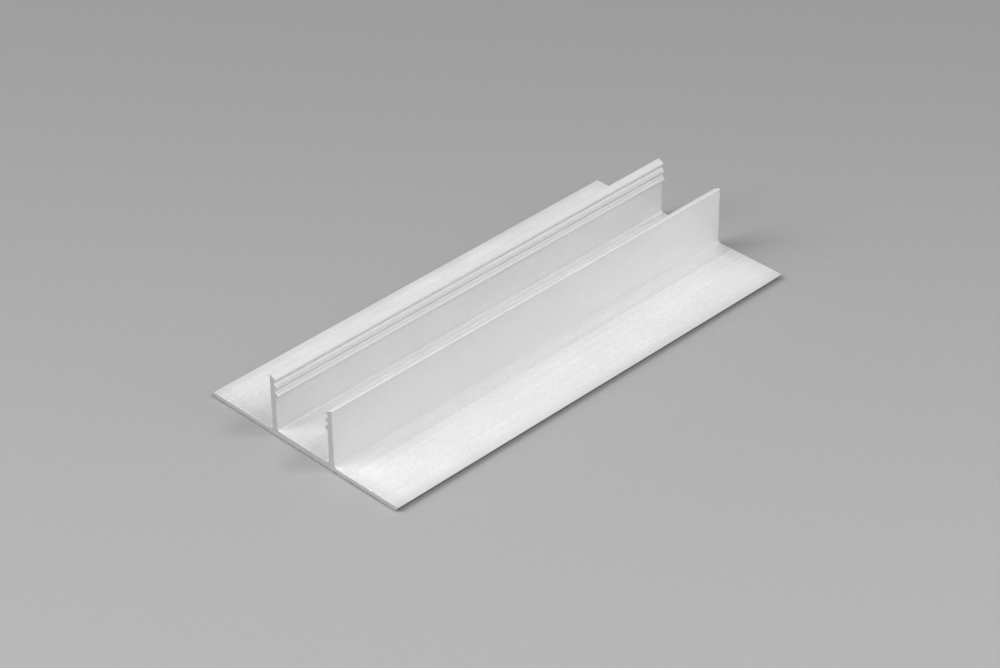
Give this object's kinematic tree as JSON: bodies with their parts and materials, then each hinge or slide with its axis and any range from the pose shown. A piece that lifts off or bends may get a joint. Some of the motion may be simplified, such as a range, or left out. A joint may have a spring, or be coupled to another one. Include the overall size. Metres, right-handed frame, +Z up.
{
  "type": "aluminium extrusion profile",
  "caption": "Flat flanged aluminium strip with an upright channel whose inner walls carry barbs that grip a pressed-in cover strip; ends sawn square.",
  "frame": {"origin": "middle of the underside, halfway along the length", "axes": "+X across the flanges, +Y along the length, +Z up out of the channel's mouth"},
  "size_m": [0.0482, 0.1, 0.0131],
  "materials": {
    "profile": "matt silver, with fine die lines along the length"
  },
  "bodies": {
    "root": {"profile": "profile"}
  },
  "joints": []
}
